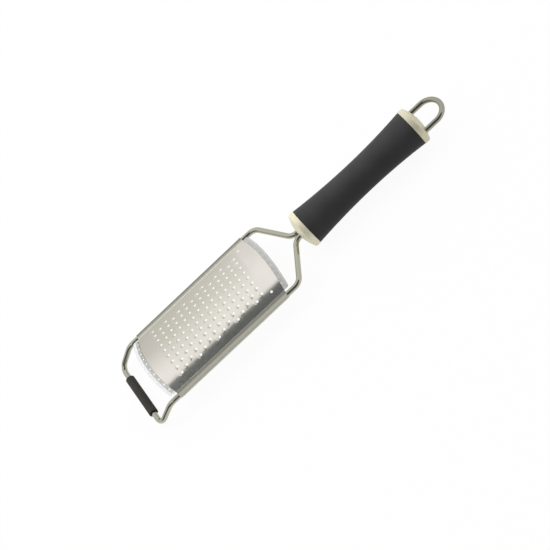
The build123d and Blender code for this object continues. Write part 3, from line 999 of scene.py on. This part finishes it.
class ZESTER_OT_wire_frame(bpy.types.Operator):
    """Bends the wire frame: tangs, neck, rails and foot"""

    bl_idname = "zester.wire_frame"
    bl_label = "Wire frame"

    def execute(self, context):
        wires = context.scene.zester_wires
        blade = context.scene.zester_blade
        look = context.scene.zester_finishes
        radius = wires.diameter / 2
        half_rails = wire_high.y - radius
        half_tang = radius + wires.tang_gap / 2
        neck_x = grip_low.x - wires.neck_start
        shoulder_x = neck_x - (half_rails - half_tang) / math.tan(wires.neck_angle)
        heel_x = blade_low.x + blade.bow + blade.tongue - wires.bare_rail
        left = [
            Vector((wire_high.x, half_tang, axis_z)),
            Vector((neck_x, half_tang, axis_z)),
            Vector((shoulder_x, half_rails, axis_z)),
            Vector((heel_x, half_rails, axis_z)),
            Vector((foot_x, half_rails - wires.foot_narrowing, foot_z)),
        ]
        bends = [wires.neck_bend, wires.shoulder_bend, wires.heel_bend, wires.foot_corner]
        material = steel_material("bent_wire", look.wire, look.wire_rough, WIRE_GRAIN, scale=900.0)
        bm = draw_wire(left, bends, wires)
        finished_piece("rails_and_neck_wire", bm, material, "steel_wire", "wire_frame")
        return {"FINISHED"}


class ZESTER_OT_hanging_loop(bpy.types.Operator):
    """Bends the hanging loop"""

    bl_idname = "zester.hanging_loop"
    bl_label = "Hanging loop"

    def execute(self, context):
        wires = context.scene.zester_wires
        look = context.scene.zester_finishes
        radius = wires.diameter / 2
        half_loop = loop_high.y - radius
        leg_x = grip_high.x + wires.loop_foot_inset
        left = [
            Vector((leg_x, wires.loop_foot_gap / 2, axis_z)),
            Vector((leg_x, half_loop, axis_z)),
            Vector((loop_high.x - radius, half_loop, axis_z)),
        ]
        material = steel_material("loop_wire", look.loop, look.wire_rough, WIRE_GRAIN, scale=900.0)
        bm = draw_wire(left, [wires.loop_foot_bend, half_loop], wires)
        finished_piece("hanging_loop_wire", bm, material, "steel_wire", "hanging_loop")
        return {"FINISHED"}


class ZESTER_OT_foot_sleeve(bpy.types.Operator):
    """Turns the rubber sleeve on the foot"""

    bl_idname = "zester.foot_sleeve"
    bl_label = "Foot sleeve"

    def execute(self, context):
        handle = context.scene.zester_handle
        look = context.scene.zester_finishes
        bore = context.scene.zester_wires.diameter / 2 + handle.sleeve_bore_gap
        sleeve = sleeve_outline(handle, sleeve_high.y - sleeve_low.y, sleeve_high.z - foot_z, bore)
        place = Matrix.Translation((foot_x, 0.0, foot_z)) @ Matrix.Rotation(math.pi / 2, 4, "Z")
        bm = sleeve.turned(handle.facets // 2, place)
        material = rubber_material("sleeve_rubber", look.sleeve, look.sleeve_rough,
                                   scale=1400.0, depth=0.03 * MM)
        finished_piece("foot_rubber_sleeve", bm, material, "foot_rubber", "foot_sleeve")
        return {"FINISHED"}


class ZESTER_OT_blade(bpy.types.Operator):
    """Makes the arched blade with its teeth, rolls and holed tongues"""

    bl_idname = "zester.blade"
    bl_label = "Blade"

    def execute(self, context):
        blade = context.scene.zester_blade
        layout = blade_layout(context.scene)
        bm = layout.flat_sheet()
        cell = ToothCell(layout)
        teeth, plain = layout.hole_places()
        insert_cells(bm, cell.mesh("tooth_cell", blade.hole, True), teeth, layout)
        insert_cells(bm, cell.mesh("plain_cell", blade.plain_hole, False), plain, layout)
        bmesh.ops.remove_doubles(bm, verts=bm.verts, dist=WELD)
        thicken(bm, -blade.sheet / 2, blade.sheet / 2)
        shape_to_blade(bm, layout)
        material = blade_material("satin_blade", context.scene.zester_finishes, layout)
        finished_piece("toothed_blade", bm, material, "blade_steel", "blade")
        return {"FINISHED"}


class ZESTER_OT_guards(bpy.types.Operator):
    """Makes the clear strips on the blade's two ends"""

    bl_idname = "zester.guards"
    bl_label = "End guards"

    def execute(self, context):
        guards = context.scene.zester_guards
        look = context.scene.zester_finishes
        layout = blade_layout(context.scene)
        for name, node, side, lip, tone, rough, clearness in (
            ("handle_guard_strip", "handle_end_guard", 1, guards.handle_lip,
             look.handle_guard, look.handle_guard_rough, look.handle_guard_clear),
            ("foot_guard_strip", "foot_end_guard", -1, guards.foot_lip,
             look.foot_guard, look.foot_guard_rough, look.foot_guard_clear),
        ):
            bm = guard_strip(layout, guards, side, lip)
            material = clear_material(name + "_clear", tone, rough, clearness)
            finished_piece(name, bm, material, "clear_guard", node)
        return {"FINISHED"}


class ZESTER_OT_grip(bpy.types.Operator):
    """Turns the waisted soft grip"""

    bl_idname = "zester.grip"
    bl_label = "Grip"

    def execute(self, context):
        handle = context.scene.zester_handle
        look = context.scene.zester_finishes
        skin = waisted_grip(handle, grip_high.x - grip_low.x)
        bm = skin.turned(handle.facets, Matrix.Translation((grip_low.x, 0.0, axis_z)))
        material = rubber_material("grip_rubber", look.grip, look.grip_rough, scale=1100.0, depth=0.02 * MM)
        finished_piece("waisted_grip", bm, material, "soft_grip", "grip")
        return {"FINISHED"}


class ZESTER_OT_caps(bpy.types.Operator):
    """Turns the two pressed steel caps"""

    bl_idname = "zester.caps"
    bl_label = "Caps"

    def execute(self, context):
        handle = context.scene.zester_handle
        look = context.scene.zester_finishes
        rim = handle.grip_end / 2 + handle.cap_step
        for name, node, x, angle, tone in (
            ("front_steel_cap", "front_cap", grip_low.x, math.pi, look.cap),
            ("rear_steel_cap", "rear_cap", grip_high.x, 0.0, look.rear_cap),
        ):
            place = Matrix.Translation((x, 0.0, axis_z)) @ Matrix.Rotation(angle, 4, "Z")
            bm = cap_outline(handle, rim, rear_high.x - rear_low.x).turned(handle.facets, place)
            material = steel_material(name + "_steel", tone, look.cap_rough, CAP_GRAIN,
                                      scale=1100.0, rough_change=0.06, metal=look.cap_metal)
            finished_piece(name, bm, material, "polished_cap", node)
        return {"FINISHED"}


class ZESTER_OT_core(bpy.types.Operator):
    """Gives the handle's hard core its moulded plastic"""

    bl_idname = "zester.core"
    bl_label = "Core"

    def execute(self, context):
        look = context.scene.zester_finishes
        material = rubber_material("core_moulding", look.core, look.core_rough, scale=500.0, depth=0.02 * MM)
        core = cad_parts["handle_core"].data
        core.materials.clear()
        core.materials.append(material)
        return {"FINISHED"}


# Stage
def direction(azimuth, elevation):
    """The unit vector towards a place of the room, with the azimuth counted from -Y to +X."""
    flat = math.cos(elevation)
    return Vector((math.sin(azimuth) * flat, -math.cos(azimuth) * flat, math.sin(elevation)))


def aim_camera(stage):
    """A camera at the photograph's angle."""
    azimuth = stage.azimuth
    target = Vector((grip_low.x + stage.target_x, stage.target_y, axis_z))
    back = direction(azimuth, stage.elevation)
    level = Vector((math.cos(azimuth), math.sin(azimuth), 0.0))
    upright = back.cross(level)
    right = math.cos(stage.roll) * level + math.sin(stage.roll) * upright
    top = math.cos(stage.roll) * upright - math.sin(stage.roll) * level
    data = bpy.data.cameras.new("photo_camera")
    data.sensor_width = 36.0
    data.lens = stage.lens
    data.clip_end = 20.0
    camera = linked("photo_camera", data)
    turned_view = Matrix((right, top, back)).transposed().to_4x4()
    camera.matrix_world = Matrix.Translation(target + back * stage.distance) @ turned_view
    bpy.context.scene.camera = camera
    return camera


def room_world(stage):
    """Soft light from the far side; polished metal sees a bright room with a dark side."""
    world = bpy.data.worlds.new("photo_room")
    world.use_nodes = True
    tree = world.node_tree
    way = add_node(tree, "ShaderNodeTexCoord").outputs["Generated"]
    parts = add_node(tree, "ShaderNodeSeparateXYZ", {"Vector": way}).outputs
    rays = add_node(tree, "ShaderNodeLightPath").outputs
    dark_aim = direction(stage.dark_azimuth, stage.dark_elevation)
    dark_angle = maths(tree, "ARCCOSINE", vector_maths(tree, "DOT_PRODUCT", "Value", way, dark_aim))
    outside = scaled(tree, dark_angle, stage.dark_inner, stage.dark_outer, curve="SMOOTHSTEP")
    past_left = scaled(tree, parts["X"], -math.sin(stage.dark_left - stage.dark_fade / 2),
                       -math.sin(stage.dark_left + stage.dark_fade / 2), curve="SMOOTHSTEP")
    left_aim = direction(stage.left_azimuth, stage.left_elevation)
    left_dot = vector_maths(tree, "DOT_PRODUCT", "Value", way, left_aim)
    left = scaled(tree, left_dot, math.cos(stage.left_outer), math.cos(stage.left_inner), curve="SMOOTHSTEP")
    walls = mixed(tree, scaled(tree, parts["Z"], WALL_LOW, WALL_HIGH), stage.low, stage.bright)
    walls = mixed(tree, left, walls, stage.left)
    seen_by_metal = mixed(tree, maths(tree, "MAXIMUM", outside, past_left), stage.dark, walls)
    level = scaled(tree, parts["Y"], -1.0, 1.0, stage.soft_near, stage.soft_far)
    soft = add_node(tree, "ShaderNodeCombineColor", {"Red": level, "Green": level, "Blue": level})
    metal_or_soft = mixed(tree, rays["Is Glossy Ray"], soft.outputs["Color"], seen_by_metal)
    clear = maths(tree, "MAXIMUM", rays["Is Camera Ray"], rays["Is Transmission Ray"])
    tree.links.new(mixed(tree, clear, metal_or_soft, WHITE), tree.nodes["Background"].inputs["Color"])
    bpy.context.scene.world = world


def floor_material(stage):
    """Pale floor that keeps a faint shadow and looks white to the camera."""
    material = bpy.data.materials.new("floor_white")
    material.use_nodes = True
    tree = material.node_tree
    rays = add_node(tree, "ShaderNodeLightPath").outputs
    paint = add_node(tree, "ShaderNodeBsdfDiffuse", {"Color": (*stage.floor, 1.0)})
    bounce = add_node(tree, "ShaderNodeBsdfDiffuse", {"Color": (*stage.bounce, 1.0)})
    white = add_node(tree, "ShaderNodeEmission", {"Color": (*WHITE, 1.0), "Strength": 1.0})
    shown = add_node(tree, "ShaderNodeMixShader", {
        0: 1.0 - stage.shadow_share,
        1: paint.outputs["BSDF"],
        2: white.outputs["Emission"],
    })
    clear = maths(tree, "MAXIMUM", rays["Is Camera Ray"], rays["Is Transmission Ray"])
    whole = add_node(tree, "ShaderNodeMixShader", {
        0: maths(tree, "MAXIMUM", clear, rays["Is Glossy Ray"]),
        1: bounce.outputs["BSDF"],
        2: shown.outputs["Shader"],
    })
    tree.links.new(whole.outputs["Shader"], tree.nodes["Material Output"].inputs["Surface"])
    tree.nodes.remove(tree.nodes["Principled BSDF"])
    return material


def floor_plane(stage):
    """A plain pale floor just under the tool."""
    bm = bmesh.new()
    bmesh.ops.create_grid(bm, x_segments=1, y_segments=1, size=stage.floor_size / 2)
    bmesh.ops.translate(bm, verts=bm.verts, vec=(0.0, 0.0, cad_low.z - FLOOR_GAP))
    mesh = bpy.data.meshes.new("floor")
    bm.to_mesh(mesh)
    bm.free()
    mesh.materials.append(floor_material(stage))
    return linked("floor", mesh)


def key_lamp(stage):
    """A broad soft lamp above the tool."""
    data = bpy.data.lights.new("soft_key", "AREA")
    data.energy = stage.key_power
    data.shape = "SQUARE"
    data.size = stage.key_size
    lamp = linked("soft_key", data)
    spot = Vector(stage.key_place)
    lamp.matrix_world = Matrix.Translation(spot) @ spot.to_track_quat("Z", "Y").to_matrix().to_4x4()
    lamp.visible_glossy = False
    lamp.visible_transmission = False
    return lamp


class ZESTER_OT_stage(bpy.types.Operator):
    """Sets the floor, the light and the camera"""

    bl_idname = "zester.stage"
    bl_label = "Stage"

    def execute(self, context):
        stage = context.scene.zester_stage
        room_world(stage)
        aim_camera(stage)
        floor_plane(stage)
        key_lamp(stage)
        context.scene.view_settings.view_transform = "Standard"
        return {"FINISHED"}


class ZESTER_PT_panel(bpy.types.Panel):
    """Lists the zester's pieces"""

    bl_idname = "ZESTER_PT_panel"
    bl_label = "Rasp Zester"
    bl_space_type = "VIEW_3D"
    bl_region_type = "UI"
    bl_category = "Zester"

    def draw(self, context):
        for operator in OPERATORS:
            self.layout.operator(operator.bl_idname)


OPERATORS = (
    ZESTER_OT_wire_frame,
    ZESTER_OT_foot_sleeve,
    ZESTER_OT_blade,
    ZESTER_OT_guards,
    ZESTER_OT_caps,
    ZESTER_OT_grip,
    ZESTER_OT_core,
    ZESTER_OT_hanging_loop,
    ZESTER_OT_stage,
)


def register():
    """Registers the settings, the operators and the panel."""
    for name, group in GROUPS.items():
        bpy.utils.register_class(group)
        setattr(bpy.types.Scene, name, PointerProperty(type=group))
    for operator in OPERATORS:
        bpy.utils.register_class(operator)
    bpy.utils.register_class(ZESTER_PT_panel)


def unregister():
    """Takes the panel, the operators and the settings away again."""
    bpy.utils.unregister_class(ZESTER_PT_panel)
    for operator in reversed(OPERATORS):
        bpy.utils.unregister_class(operator)
    for name, group in reversed(GROUPS.items()):
        delattr(bpy.types.Scene, name)
        bpy.utils.unregister_class(group)


def main():
    """Registers the classes and builds every piece."""
    register()
    bpy.ops.zester.wire_frame()
    bpy.ops.zester.foot_sleeve()
    bpy.ops.zester.blade()
    bpy.ops.zester.guards()
    bpy.ops.zester.caps()
    bpy.ops.zester.grip()
    bpy.ops.zester.core()
    bpy.ops.zester.hanging_loop()
    bpy.ops.zester.stage()


if __name__ == "__main__":
    main()
